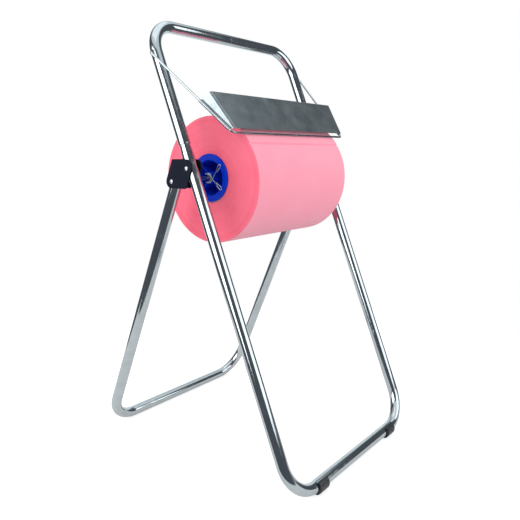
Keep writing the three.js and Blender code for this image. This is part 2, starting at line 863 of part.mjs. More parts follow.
for (const [side, mirror] of [
  ["left", 1],
  ["right", -1],
]) {
  const half = new THREE.Group();
  half.scale.x = mirror;

  const hinge = new THREE.Group();
  hinge.position.set(-legHalfSpan, pivot.y, pivot.z);
  const fixing = named(`${side}_fixing_rivet`, rivet(), brightWire);
  fixing.position.set(0, fixingRivetY, fixingRivetZ);
  hinge.add(
    named(`${side}_hinge_bracket`, hingeBracket(), blackPlastic),
    named(`${side}_pivot_rivet`, rivet(), brightWire),
    fixing,
  );

  const hub = new THREE.Group();
  hub.position.copy(spindleAxis);
  hub.add(
    named(`${side}_roll_cone`, rollCone(), bluePlastic),
    named(`${side}_spring_clip`, clipWire, brightWire),
  );

  const bush = named(`${side}_bail_bush`, bailBush(), brightWire);
  bush.position.copy(bailHole);
  half.add(hinge, hub, bush);
  stand.add(half);
}

const crossbar = new THREE.Vector3(
  0,
  pivot.y - frontLegBelowPivot * Math.sin(frontLean),
  footRise,
);
for (const [side, x] of [
  ["left", -footFromMiddle],
  ["right", footFromMiddle],
]) {
  const foot = named(`${side}_foot_clip`, footClip(), blackPlastic);
  foot.position.set(x, crossbar.y, crossbar.z);
  stand.add(foot);
}

console.log(
  `spring clip: least gap to itself ${leastSelfGap(clipPoints, clipWireRadius).toFixed(2)} mm`,
);

export default stand;
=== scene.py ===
import json
import math

import bmesh
import bpy
from mathutils import Matrix, Vector


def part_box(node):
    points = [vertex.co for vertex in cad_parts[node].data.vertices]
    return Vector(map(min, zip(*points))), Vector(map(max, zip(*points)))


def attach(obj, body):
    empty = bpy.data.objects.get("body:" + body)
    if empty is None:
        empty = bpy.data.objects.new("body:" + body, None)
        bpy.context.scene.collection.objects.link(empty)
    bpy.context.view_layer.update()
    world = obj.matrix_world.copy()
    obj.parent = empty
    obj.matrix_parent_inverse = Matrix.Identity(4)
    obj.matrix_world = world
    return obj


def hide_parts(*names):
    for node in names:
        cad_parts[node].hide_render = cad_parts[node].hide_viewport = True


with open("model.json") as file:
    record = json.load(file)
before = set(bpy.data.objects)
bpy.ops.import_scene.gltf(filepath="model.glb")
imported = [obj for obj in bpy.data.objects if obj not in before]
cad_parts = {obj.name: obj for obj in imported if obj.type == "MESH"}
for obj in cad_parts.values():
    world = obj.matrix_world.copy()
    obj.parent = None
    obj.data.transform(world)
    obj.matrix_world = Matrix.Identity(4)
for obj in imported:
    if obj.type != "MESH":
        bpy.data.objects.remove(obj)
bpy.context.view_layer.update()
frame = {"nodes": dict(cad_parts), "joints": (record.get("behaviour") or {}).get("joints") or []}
print("frame loaded:", len(frame["nodes"]), "nodes")

joints = {joint["name"]: joint for joint in frame["joints"]}
foldAt = Vector(joints["frame_fold"]["pos_m"])
spindleAt = Vector(joints["spindle_spin"]["pos_m"])
rollAt = Vector(joints["roll_spin"]["pos_m"])
bailAt = Vector(joints["bail_swing"]["pos_m"])
xAxis = Vector((1, 0, 0))
yAxis = Vector((0, 1, 0))


# Materials. Each effect that several finishes share is one node group.

# the Mix node's colour sockets share their names, so they are found by their places
mixPlaces = {"factor": 0, "first": 6, "second": 7, "result": 2}


def addNode(tree, kind, inputs=None, **settings):
    # an input is a plain value or another node's output
    node = tree.nodes.new(kind)
    for key, value in settings.items():
        setattr(node, key, value)
    for key, value in (inputs or {}).items():
        if isinstance(value, bpy.types.NodeSocket):
            tree.links.new(value, node.inputs[key])
        else:
            node.inputs[key].default_value = value
    return node


def addMath(tree, operation, first, second, clamp=False):
    node = addNode(
        tree, "ShaderNodeMath", {0: first, 1: second}, operation=operation, use_clamp=clamp)
    return node.outputs["Value"]


def mixColors(tree, factor, first, second):
    # a colour is three numbers or another node's output
    first, second = (
        color if isinstance(color, bpy.types.NodeSocket) else (*color, 1.0)
        for color in (first, second))
    mix = addNode(tree, "ShaderNodeMix", {
        mixPlaces["factor"]: factor,
        mixPlaces["first"]: first,
        mixPlaces["second"]: second,
    }, data_type="RGBA")
    return mix.outputs[mixPlaces["result"]]


def newGroup(name, inputs, outputs):
    group = bpy.data.node_groups.new(name, "ShaderNodeTree")
    for label, kind, value in inputs:
        socket = group.interface.new_socket(label, in_out="INPUT", socket_type=kind)
        if value is not None:
            socket.default_value = value
    for label, kind in outputs:
        group.interface.new_socket(label, in_out="OUTPUT", socket_type=kind)
    return group, group.nodes.new("NodeGroupInput"), group.nodes.new("NodeGroupOutput")


def makeMottleGroup():
    # soft cloudy patches, given back as a value between Low and High
    group, given, result = newGroup(
        "mottle",
        [
            ("Vector", "NodeSocketVector", None),
            ("Scale", "NodeSocketFloat", 20.0),
            ("Detail", "NodeSocketFloat", 4.0),
            ("Low", "NodeSocketFloat", 0.0),
            ("High", "NodeSocketFloat", 1.0),
        ],
        [("Value", "NodeSocketFloat")],
    )
    noise = addNode(group, "ShaderNodeTexNoise", {
        "Vector": given.outputs["Vector"],
        "Scale": given.outputs["Scale"],
        "Detail": given.outputs["Detail"],
    })
    spread = addNode(group, "ShaderNodeMapRange", {
        "Value": noise.outputs["Fac"],
        "From Min": 0.3,
        "From Max": 0.7,
        "To Min": given.outputs["Low"],
        "To Max": given.outputs["High"],
    })
    group.links.new(spread.outputs["Result"], result.inputs["Value"])
    return group


def makeGrainGroup():
    # a fine moulded or cast grain, as a normal
    group, given, result = newGroup(
        "grain",
        [
            ("Vector", "NodeSocketVector", None),
            ("Scale", "NodeSocketFloat", 900.0),
            ("Strength", "NodeSocketFloat", 0.2),
            ("Height", "NodeSocketFloat", 0.0002),
        ],
        [("Normal", "NodeSocketVector")],
    )
    noise = addNode(group, "ShaderNodeTexNoise", {
        "Vector": given.outputs["Vector"],
        "Scale": given.outputs["Scale"],
        "Detail": 3.0,
    })
    bump = addNode(group, "ShaderNodeBump", {
        "Strength": given.outputs["Strength"],
        "Distance": given.outputs["Height"],
        "Height": noise.outputs["Fac"],
    })
    group.links.new(bump.outputs["Normal"], result.inputs["Normal"])
    return group


def makeScratchGroup():
    # hairline handling marks, as a mask: noise drawn out along Z and along X
    group, given, result = newGroup(
        "scratches",
        [
            ("Vector", "NodeSocketVector", None),
            ("Scale", "NodeSocketFloat", 60.0),
            ("Amount", "NodeSocketFloat", 0.5),
        ],
        [("Mask", "NodeSocketFloat")],
    )
    drawnOut = 0.04
    marks = []
    for stretch in ((1.0, 1.0, drawnOut), (drawnOut, 1.0, 1.0)):
        laid = addNode(group, "ShaderNodeMapping", {
            "Vector": given.outputs["Vector"],
            "Scale": stretch,
        })
        noise = addNode(group, "ShaderNodeTexNoise", {
            "Vector": laid.outputs["Vector"],
            "Scale": given.outputs["Scale"],
            "Detail": 6.0,
            "Roughness": 0.75,
        })
        thin = addNode(group, "ShaderNodeMapRange", {
            "Value": noise.outputs["Fac"],
            "From Min": 0.56,
            "From Max": 0.68,
        })
        marks.append(thin.outputs["Result"])
    both = addMath(group, "MAXIMUM", *marks)
    mask = addMath(group, "MULTIPLY", both, given.outputs["Amount"])
    group.links.new(mask, result.inputs["Mask"])
    return group


def makeWindingGroup():
    # the edges of wound layers seen from the end: rings about an axis along X
    group, given, result = newGroup(
        "windings",
        [
            ("Vector", "NodeSocketVector", None),
            ("Pitch", "NodeSocketFloat", 0.002),
        ],
        [("Ring", "NodeSocketFloat"), ("Band", "NodeSocketFloat")],
    )
    parts = addNode(group, "ShaderNodeSeparateXYZ", {"Vector": given.outputs["Vector"]})
    flat = addNode(group, "ShaderNodeCombineXYZ", {
        "X": parts.outputs["Y"],
        "Y": parts.outputs["Z"],
    })
    length = addNode(
        group, "ShaderNodeVectorMath", {0: flat.outputs["Vector"]}, operation="LENGTH")
    count = addMath(group, "DIVIDE", length.outputs["Value"], given.outputs["Pitch"])
    # a ring for each layer, and a band for about eight of them
    for label, share, detail in (("Ring", 1.0, 4.0), ("Band", 0.12, 2.0)):
        noise = addNode(group, "ShaderNodeTexNoise", {
            "W": addMath(group, "MULTIPLY", count, share),
            "Scale": 1.0,
            "Detail": detail,
        }, noise_dimensions="1D")
        group.links.new(noise.outputs["Fac"], result.inputs[label])
    return group


groups = {
    "mottle": makeMottleGroup(),
    "grain": makeGrainGroup(),
    "scratches": makeScratchGroup(),
    "windings": makeWindingGroup(),
}


def useGroup(tree, name, inputs):
    return addNode(tree, "ShaderNodeGroup", inputs, node_tree=groups[name])


def newMaterial(name, color, metallic=0.0, roughness=0.5):
    # a Principled material, with its tree and shader for the finish to work on
    material = bpy.data.materials.new(name)
    material.use_nodes = True
    material.diffuse_color = (*color, 1.0)
    tree = material.node_tree
    shader = tree.nodes["Principled BSDF"]
    shader.inputs["Base Color"].default_value = (*color, 1.0)
    shader.inputs["Metallic"].default_value = metallic
    shader.inputs["Roughness"].default_value = roughness
    return material, tree, shader


def objectPlace(tree):
    return addNode(tree, "ShaderNodeTexCoord").outputs["Object"]


def addTint(tree, shader, place, look):
    # the colour drifts in soft patches to a duller one
    tint = useGroup(tree, "mottle", {
        "Vector": place,
        "Scale": look["tintScale"],
        "Detail": look["tintDetail"],
    })
    color = mixColors(tree, tint.outputs["Value"], look["color"], look["dull"])
    tree.links.new(color, shader.inputs["Base Color"])


def addGrain(tree, shader, place, look):
    grain = useGroup(tree, "grain", {
        "Vector": place,
        "Scale": look["grainScale"],
        "Strength": look["grain"],
        "Height": look["grainHeight"],
    })
    tree.links.new(grain.outputs["Normal"], shader.inputs["Normal"])


def cloudyRoughness(tree, place, look):
    cloud = useGroup(tree, "mottle", {
        "Vector": place,
        "Scale": look["cloudScale"],
        "Low": look["roughness"][0],
        "High": look["roughness"][1],
    })
    return cloud.outputs["Value"]


def makeMetal(name, look):
    material, tree, shader = newMaterial(name, look["color"], metallic=1.0)
    place = objectPlace(tree)
    marks = useGroup(tree, "scratches", {
        "Vector": place,
        "Scale": look["scratchScale"],
        "Amount": look["scratches"],
    })
    rough = addMath(tree, "ADD", cloudyRoughness(tree, place, look), marks.outputs["Mask"])
    tree.links.new(rough, shader.inputs["Roughness"])
    addTint(tree, shader, place, look)
    addGrain(tree, shader, place, look)
    return material


def makePlastic(name, look):
    material, tree, shader = newMaterial(name, look["color"])
    shader.inputs["Specular IOR Level"].default_value = look["gloss"]
    place = objectPlace(tree)
    tree.links.new(cloudyRoughness(tree, place, look), shader.inputs["Roughness"])
    addTint(tree, shader, place, look)
    addGrain(tree, shader, place, look)
    return material


def makePaperSide(name, look):
    material, tree, shader = newMaterial(name, look["color"], roughness=look["roughness"])
    shader.inputs["Sheen Weight"].default_value = look["sheen"]
    shader.inputs["Sheen Roughness"].default_value = look["sheenRoughness"]
    place = objectPlace(tree)
    addTint(tree, shader, place, look)
    crepe = addNode(tree, "ShaderNodeMapping", {"Vector": place, "Scale": look["crepe"]})
    addGrain(tree, shader, crepe.outputs["Vector"], look)
    return material


# the roll's ends are a deeper pink than its side: partly the colour of the layers' edges, partly
# painted shade of the end faces
def makePaperEnd(name, look):
    material, tree, shader = newMaterial(name, look["color"], roughness=look["roughness"])
    place = objectPlace(tree)
    centred = addNode(tree, "ShaderNodeMapping", {
        "Vector": place,
        "Location": (0.0, -rollAt.y, -rollAt.z),
    })
    rings = useGroup(tree, "windings", {
        "Vector": centred.outputs["Vector"],
        "Pitch": look["ringPitch"],
    })
    bands = addNode(tree, "ShaderNodeMapRange", {
        "Value": rings.outputs["Band"],
        "From Min": look["bandRange"][0],
        "From Max": look["bandRange"][1],
        "To Max": look["bandShare"],
    })
    cloud = useGroup(tree, "mottle", {
        "Vector": place,
        "Scale": look["cloudScale"],
        "Detail": look["cloudDetail"],
        "High": look["cloudShare"],
    })
    factor = addMath(tree, "ADD", bands.outputs["Result"], cloud.outputs["Value"], clamp=True)
    color = mixColors(tree, factor, look["color"], look["dull"])
    tree.links.new(color, shader.inputs["Base Color"])
    bump = addNode(tree, "ShaderNodeBump", {
        "Strength": look["ringStrength"],
        "Distance": look["ringHeight"],
        "Height": rings.outputs["Ring"],
    })
    tree.links.new(bump.outputs["Normal"], shader.inputs["Normal"])
    return material


def makeCardboard(name, look):
    material, tree, shader = newMaterial(name, look["color"], roughness=look["roughness"])
    place = objectPlace(tree)
    addTint(tree, shader, place, look)
    addGrain(tree, shader, place, look)
    return material


chromeLook = {
    "color": (0.54, 0.6, 0.63),
    "dull": (0.47, 0.53, 0.55),
    "roughness": (0.05, 0.13),
    "cloudScale": 30.0,
    "tintScale": 45.0,
    "tintDetail": 6.0,
    "scratchScale": 55.0,
    "scratches": 0.12,
    "grainScale": 260.0,
    "grain": 0.03,
    "grainHeight": 0.0002,
}
wireLook = {
    "color": (0.5, 0.55, 0.57),
    "dull": (0.38, 0.43, 0.45),
    "roughness": (0.08, 0.2),
    "cloudScale": 60.0,
    "tintScale": 90.0,
    "tintDetail": 6.0,
    "scratchScale": 90.0,
    "scratches": 0.15,
    "grainScale": 700.0,
    "grain": 0.06,
    "grainHeight": 0.0002,
}
satinLook = {
    **wireLook,
    "color": (0.82, 0.85, 0.86),
    "dull": (0.7, 0.74, 0.75),
    "roughness": (0.36, 0.44),
}
zincLook = {
    "color": (0.37, 0.42, 0.435),
    "dull": (0.28, 0.325, 0.345),
    "roughness": (0.3, 0.4),
    "cloudScale": 26.0,
    "tintScale": 34.0,
    "tintDetail": 6.0,
    "scratchScale": 30.0,
    "scratches": 0.1,
    "grainScale": 380.0,
    "grain": 0.08,
    "grainHeight": 0.0002,
}
blackLook = {
    "color": (0.003, 0.006, 0.018),
    "dull": (0.006, 0.01, 0.024),
    "roughness": (0.4, 0.55),
    "gloss": 0.13,
    "cloudScale": 60.0,
    "tintScale": 80.0,
    "tintDetail": 4.0,
    "grainScale": 1500.0,
    "grain": 0.25,
    "grainHeight": 0.0002,
}
footLook = {
    **blackLook,
    "color": (0.014, 0.019, 0.024),
    "dull": (0.02, 0.026, 0.032),
    "roughness": (0.2, 0.3),
    "gloss": 0.6,
}
blueLook = {
    "color": (0.0, 0.042, 0.66),
    "dull": (0.0, 0.03, 0.54),
    "roughness": (0.34, 0.46),
    "gloss": 0.08,
    "cloudScale": 45.0,
    "tintScale": 30.0,
    "tintDetail": 4.0,
    "grainScale": 1100.0,
    "grain": 0.06,
    "grainHeight": 0.0002,
}
sideLook = {
    "color": (1.0, 0.348, 0.466),
    "dull": (0.99, 0.318, 0.436),
    "roughness": 0.92,
    "sheen": 0.25,
    "sheenRoughness": 0.6,
    "tintScale": 9.0,
    "tintDetail": 5.0,
    "crepe": (0.35, 1.0, 1.0),
    "grainScale": 700.0,
    "grain": 0.35,
    "grainHeight": 0.0003,
}
# deeper than the side's colours: partly the layers' edges, partly painted shade of the roll's ends
endLook = {
    "color": (1.0, 0.185, 0.278),
    "dull": (0.97, 0.11, 0.182),
    "roughness": 0.95,
    "cloudScale": 16.0,
    "cloudDetail": 7.0,
    "cloudShare": 0.5,
    "bandRange": (0.35, 0.65),
    "bandShare": 0.26,
    "ringPitch": 0.0011,
    "ringStrength": 0.5,
    "ringHeight": 0.0006,
}
boardLook = {
    "color": (0.46, 0.31, 0.2),
    "dull": (0.33, 0.21, 0.13),
    "roughness": 0.85,
    "tintScale": 160.0,
    "tintDetail": 6.0,
    "grainScale": 500.0,
    "grain": 0.3,
    "grainHeight": 0.0002,
}
chromePlate = makeMetal("chromePlate", chromeLook)
brightWire = makeMetal("brightWire", wireLook)
satinSteel = makeMetal("satinSteel", satinLook)
zincSheet = makeMetal("zincSheet", zincLook)
blackMoulding = makePlastic("blackMoulding", blackLook)
footRubber = makePlastic("footRubber", footLook)
blueMoulding = makePlastic("blueMoulding", blueLook)
paperSide = makePaperSide("pinkPaperSide", sideLook)
paperEnd = makePaperEnd("pinkPaperEnd", endLook)
coreBoard = makeCardboard("coreBoard", boardLook)
print("materials made")


# Mesh helpers that the pieces share. Outward is -1 at the left end and 1 at the right.

def addObject(name, data):
    item = bpy.data.objects.new(name, data)
    bpy.context.scene.collection.objects.link(item)
    return item


def keepPiece(
        name, bm, body, material, replaced, sheet=0.0, bevel=0.0, sharpAngle=40.0):
    # turns a bmesh into a piece of the stand that rides on its body
    mesh = bpy.data.meshes.new(name)
    bm.to_mesh(mesh)
    bm.free()
    mesh.materials.append(material)
    mesh.shade_smooth()
    mesh.set_sharp_from_angle(angle=math.radians(sharpAngle))
    piece = addObject(name, mesh)
    if sheet > 0:
        wall = piece.modifiers.new("sheetWall", "SOLIDIFY")
        wall.thickness = sheet
        wall.offset = 0.0
        wall.use_even_offset = True
    if bevel > 0:
        rounded = piece.modifiers.new("roundedEdges", "BEVEL")
        rounded.width = bevel
        rounded.segments = 3
        rounded.limit_method = "ANGLE"
        rounded.angle_limit = math.radians(sharpAngle)
        rounded.harden_normals = True
    # a broad face keeps its own normal, so that a narrow one beside it doesn't shade it
    even = piece.modifiers.new("evenNormals", "WEIGHTED_NORMAL")
    even.keep_sharp = True
    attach(piece, body)
    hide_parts(*replaced)
    return piece


def endsOf(node, outward):
    # where a node ends along X, its outer end first
    low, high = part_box(node)
    return (low.x, high.x) if outward < 0 else (high.x, low.x)


def edgesIn(geometry):
    return [item for item in geometry if isinstance(item, bmesh.types.BMEdge)]


def vertsIn(geometry):
    return [item for item in geometry if isinstance(item, bmesh.types.BMVert)]


def vertsOf(edges):
    return list({vert for edge in edges for vert in edge.verts})


def closeUp(bm):
    bmesh.ops.remove_doubles(bm, verts=bm.verts[:], dist=1e-6)
    bmesh.ops.recalc_face_normals(bm, faces=bm.faces[:])


def pushRim(bm, rim, step):
    grown = bmesh.ops.extrude_edge_only(bm, edges=rim)["geom"]
    bmesh.ops.translate(bm, verts=vertsIn(grown), vec=step)
    return [edge for edge in edgesIn(grown) if edge.is_boundary]


def widenRim(bm, rim, centre, factor):
    bmesh.ops.scale(
        bm, verts=vertsOf(rim), vec=(factor,) * 3, space=Matrix.Translation(-centre))


def bentTube(bm, corners, bends, radius, sides=64, bendSteps=20):
    # a round tube through the corners, turned at each as on a bending bench
    runs = [(after - before).normalized() for before, after in zip(corners, corners[1:])]
    facing = runs[0].to_track_quat("Z", "Y").to_matrix().to_4x4()
    known = set(bm.edges)
    bmesh.ops.create_circle(
        bm, segments=sides, radius=radius, matrix=Matrix.Translation(corners[0]) @ facing)
    rim = [edge for edge in bm.edges if edge not in known]
    firstRim = rim
    at = corners[0]
    for corner, bend, ahead, onward in zip(corners[1:], bends, runs, runs[1:]):
        turn = ahead.angle(onward)
        trim = bend * math.tan(turn / 2)
        rim = pushRim(bm, rim, corner - ahead * trim - at)
        axis = ahead.cross(onward).normalized()
        centre = corner - ahead * trim + axis.cross(ahead) * bend
        spun = bmesh.ops.spin(
            bm, geom=rim + vertsOf(rim), cent=centre, axis=axis, angle=turn, steps=bendSteps)
        rim = edgesIn(spun["geom_last"])
        at = corner + onward * trim
    lastRim = pushRim(bm, rim, corners[-1] - at)
    return firstRim, lastRim


def turnAboutX(bm, profile, centre, steps=96, closed=False):
    # a profile of (x, radius) points spun round an axis along X
    verts = [bm.verts.new((x, centre.y, centre.z + radius)) for x, radius in profile]
    edges = [bm.edges.new(pair) for pair in zip(verts, verts[1:])]
    if closed:
        edges.append(bm.edges.new((verts[-1], verts[0])))
    bmesh.ops.spin(
        bm, geom=verts + edges, cent=centre, axis=xAxis, angle=math.tau, steps=steps,
        use_merge=True)
    closeUp(bm)


# The frames of bent tube. Lengths are in metres, and heights run along the legs from the
# fold's axis.

tube = {
    "radius": 0.0125,
    "wall": 0.0015,
    "halfSpan": 0.240,
    "frontLean": math.radians(22.1),
    "rearLean": math.radians(23.65),
    "lowBend": 0.075,
    "archBend": 0.067,
    "frontBelowPivot": 0.6903,
    "archTop": 0.3177,
    "archStart": 0.051,
    "neckLength": 0.040,
    "neckTaper": 0.022,
    "neckRadius": 0.0107,
    "rearOffset": 0.0298,
    "rearTop": -0.008,
    "endEdge": 0.0009,
    "lipShare": 0.955,
    "boreBeyondNeck": 0.004,
    "rearBoreDepth": 0.020,
}
frontUp = Vector((0, math.sin(tube["frontLean"]), math.cos(tube["frontLean"])))
rearUp = Vector((0, -math.sin(tube["rearLean"]), math.cos(tube["rearLean"])))
rearOut = Vector((0, math.cos(tube["rearLean"]), math.sin(tube["rearLean"])))


def frameCorners(origin, up, topHeight, bendHeight):
    aside = xAxis * tube["halfSpan"]
    return [
        origin - aside + up * topHeight,
        origin - aside + up * bendHeight,
        origin + aside + up * bendHeight,
        origin + aside + up * topHeight,
    ]


def frameTube(bm, corners, bend):
    # gives back the rim and the centre of both ends
    rims = bentTube(bm, corners, [bend] * 2, tube["radius"])
    return zip(rims, (corners[0], corners[-1]))


def openEnd(bm, rim, end, inward, depth):
    # a tube's cut end: a softened lip, then the bore as far as it can be seen
    toLip = -inward * tube["endEdge"]
    boreShare = (tube["radius"] - tube["wall"]) / tube["radius"]
    rim = pushRim(bm, rim, toLip)
    widenRim(bm, rim, end + toLip, tube["lipShare"])
    rim = pushRim(bm, rim, Vector())
    widenRim(bm, rim, end + toLip, boreShare / tube["lipShare"])
    rim = pushRim(bm, rim, inward * depth)
    bmesh.ops.edgeloop_fill(bm, edges=rim)


def makeLowerLegs():
    bm = bmesh.new()
    corners = frameCorners(
        foldAt, frontUp, tube["archStart"] - tube["neckTaper"], -tube["frontBelowPivot"])
    for rim, end in frameTube(bm, corners, tube["lowBend"]):
        rim = pushRim(bm, rim, frontUp * tube["neckTaper"])
        neckFoot = end + frontUp * tube["neckTaper"]
        widenRim(bm, rim, neckFoot, tube["neckRadius"] / tube["radius"])
        rim = pushRim(bm, rim, frontUp * tube["neckLength"])
        bmesh.ops.edgeloop_fill(bm, edges=rim)
    closeUp(bm)
    keepPiece("lowerLegs", bm, "front_frame", chromePlate, ["lower_leg_frame"])


def makeHandleArch():
    bm = bmesh.new()
    corners = frameCorners(
        foldAt, frontUp, tube["archStart"] + tube["endEdge"], tube["archTop"])
    for rim, end in frameTube(bm, corners, tube["archBend"]):
        openEnd(bm, rim, end, frontUp, tube["neckLength"] + tube["boreBeyondNeck"])
    closeUp(bm)
    keepPiece("handleArch", bm, "front_frame", chromePlate, ["upper_handle_arch"])


def makeRearLegs():
    bm = bmesh.new()
    origin = foldAt + rearOut * tube["rearOffset"]
    toFloor = (tube["radius"] - origin.z) / rearUp.z
    corners = frameCorners(origin, rearUp, tube["rearTop"] - tube["endEdge"], toFloor)
    for rim, end in frameTube(bm, corners, tube["lowBend"]):
        openEnd(bm, rim, end, -rearUp, tube["rearBoreDepth"])
    closeUp(bm)
    keepPiece("rearLegs", bm, "rear_frame", chromePlate, ["rear_leg_frame"])


makeLowerLegs()
makeHandleArch()
makeRearLegs()
print("tube frames made")


# Brackets and feet keep their solids' form, with their edges softened

moulding = {
    "bracketEdge": 0.0007,
    "footEdge": 0.0002,
    "edgeSteps": 2,
    "sharpAngle": 32.0,
    "flatAngle": 1.0,
    "seamGap": 2e-5,
}


def softenedCopy(name, node, body, material, edgeWidth):
    bm = bmesh.new()
    bm.from_mesh(frame["nodes"][node].data)
    bmesh.ops.remove_doubles(bm, verts=bm.verts[:], dist=moulding["seamGap"])
    bmesh.ops.dissolve_limit(
        bm, angle_limit=math.radians(moulding["flatAngle"]), verts=bm.verts[:],
        edges=bm.edges[:])
    sharp = math.radians(moulding["sharpAngle"])
    hard = [edge for edge in bm.edges if edge.is_manifold and edge.calc_face_angle() > sharp]
    bmesh.ops.bevel(
        bm, geom=hard, offset=edgeWidth, segments=moulding["edgeSteps"], affect="EDGES",
        profile=0.5, material=-1, clamp_overlap=True)
    keepPiece(
        name, bm, body, material, [node], sharpAngle=moulding["sharpAngle"])


for side in ("left", "right"):
    softenedCopy(
        side + "Bracket", side + "_hinge_bracket", "rear_frame", blackMoulding,
        moulding["bracketEdge"])
    softenedCopy(
        side + "Foot", side + "_foot_clip", "front_frame", footRubber, moulding["footEdge"])
print("brackets and feet made")


# Rivets: a domed head at each end of a plain shank

rivet = {
    "headRadius": 0.0047,
    "headHeight": 0.0023,
    "shankRadius": 0.003,
    "domeShares": (
        (1.0, 0.0), (1.0, 0.22), (0.96, 0.42), (0.85, 0.64), (0.66, 0.83), (0.4, 0.95),
        (0.0, 1.0)),
    "sharpAngle": 50.0,
}


def makeRivet(name, node, body):
    low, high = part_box(node)
    centre = (low + high) / 2
    seat = (high.x - low.x) / 2 - rivet["headHeight"]
    head = [(seat, rivet["shankRadius"])]
    head += [
        (seat + rivet["headHeight"] * height, rivet["headRadius"] * width)
        for width, height in rivet["domeShares"]]
    profile = [(-x, radius) for x, radius in reversed(head)] + head
    bm = bmesh.new()
    turnAboutX(bm, [(centre.x + x, radius) for x, radius in profile], centre, steps=40)
    keepPiece(
        name, bm, body, satinSteel, [node], sharpAngle=rivet["sharpAngle"])


for side in ("left", "right"):
    makeRivet(side + "PivotRivet", side + "_pivot_rivet", "front_frame")
    makeRivet(side + "FixingRivet", side + "_fixing_rivet", "rear_frame")
print("rivets made")


# Spindle, core and paper roll

roll = {
    "radius": 0.135,
    "bore": 0.048,
    "rimRound": 0.0016,
    "rimSteps": 4,
    "sheetStep": 0.0012,
    "sheetEndAngle": math.radians(144.5),
    "sheetRamp": math.radians(60.0),
    "sheetGap": 0.0016,
    "sheetGapSweep": math.radians(1.0),
    "skinShare": 1.5,
    "coreInner": 0.045,
    "coreOuter": 0.0477,
    "spindleRadius": 0.00825,
    "spindleWall": 0.0014,
    "tubeEdge": 0.0003,
    "sharpAngle": 50.0,
    "endFacing": 0.8,
}


def straightTube(node, inner, outer, centre, steps):
    low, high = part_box(node)
    profile = [(low.x, inner), (low.x, outer), (high.x, outer), (high.x, inner)]
    bm = bmesh.new()
    turnAboutX(bm, profile, centre, steps=steps, closed=True)
    return bm


def makeSpindle():
    inner = roll["spindleRadius"] - roll["spindleWall"]
    bm = straightTube("roll_spindle", inner, roll["spindleRadius"], spindleAt, steps=64)
    keepPiece(
        "spindleTube", bm, "spindle", chromePlate, ["roll_spindle"],
        bevel=roll["tubeEdge"])


def makeCore():
    bm = straightTube(
        "cardboard_core", roll["coreInner"], roll["coreOuter"], rollAt, steps=96)
    keepPiece(
        "coreTube", bm, "roll", coreBoard, ["cardboard_core"],
        bevel=roll["tubeEdge"])


def stepAtSheetEnd(bm):
    # past the sheet's loose end the skin lies a step lower, and ramps up to the full radius
    for vert in bm.verts:
        out = vert.co - rollAt
        distance = math.hypot(out.y, out.z)
        if distance < roll["radius"] - roll["rimRound"] * roll["skinShare"]:
            continue
        turned = (math.atan2(out.z, out.y) - roll["sheetEndAngle"]) % math.tau
        inset = roll["sheetStep"] * max(0.0, 1 - turned / roll["sheetRamp"])
        if turned < roll["sheetGapSweep"]:
            inset += roll["sheetGap"]  # the end stands off the layer below it
        scale = (distance - inset) / distance
        vert.co.y = rollAt.y + out.y * scale
        vert.co.z = rollAt.z + out.z * scale


def makePaperRoll():
    low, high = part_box("paper_roll")
    profile = [(low.x, roll["bore"])]
    for step in range(roll["rimSteps"] + 1):
        angle = math.pi / 2 * step / roll["rimSteps"]
        profile.append((
            low.x + roll["rimRound"] * (1 - math.cos(angle)),
            roll["radius"] - roll["rimRound"] * (1 - math.sin(angle))))
    profile += [(low.x + high.x - x, radius) for x, radius in reversed(profile)]
    bm = bmesh.new()
    turnAboutX(bm, profile, rollAt, steps=360, closed=True)
    stepAtSheetEnd(bm)
    piece = keepPiece(
        "paperRoll", bm, "roll", paperSide, ["paper_roll"],
        sharpAngle=roll["sharpAngle"])
    # faces that look out of the roll's ends take the deeper end colour, which is partly painted
    # shade
    piece.data.materials.append(paperEnd)
    for face in piece.data.polygons:
        if abs(face.normal.x) > roll["endFacing"]:  # it looks out of one of the roll's ends
            face.material_index = 1


makeSpindle()
makeCore()
makePaperRoll()
print("roll made")


# Blue cones that centre the roll's core on the spindle

cone = {
    "flangeRadius": 0.051,
    "flangeThickness": 0.004,
    "bodyRadius": 0.0395,
    "noseRadius": 0.034,
    "depth": 0.038,
    "wall": 0.002,
    "floor": 0.0025,
    "boreRadius": 0.00855,
    "bossWall": 0.004,
    "ribs": 4,
    "ribThickness": 0.0022,
    "ribRecess": 0.005,
    "ribOverlap": 0.001,
    "edge": 0.0009,
}


def addRibs(bm, ribX, floorX, boss, opening):
    # each rib is a plate from the boss to the wall, drawn in towards the floor
    outerFront = opening + cone["wall"] / 2
    outerBack = cone["noseRadius"] - cone["wall"] / 2
    outline = (
        (ribX, boss - cone["ribOverlap"]), (ribX, outerFront),
        (floorX, outerBack), (floorX, boss - cone["ribOverlap"]))
    for index in range(cone["ribs"]):
        angle = math.pi / cone["ribs"] + math.tau * index / cone["ribs"]
        ahead = Vector((0, math.cos(angle), math.sin(angle)))
        across = Vector((0, -math.sin(angle), math.cos(angle))) * cone["ribThickness"] / 2
        corners = [
            Vector((x, spindleAt.y, spindleAt.z)) + ahead * reach - across
            for x, reach in outline]
        face = bm.faces.new([bm.verts.new(corner) for corner in corners])
        grown = bmesh.ops.extrude_face_region(bm, geom=[face])["geom"]
        bmesh.ops.translate(bm, verts=vertsIn(grown), vec=across * 2)


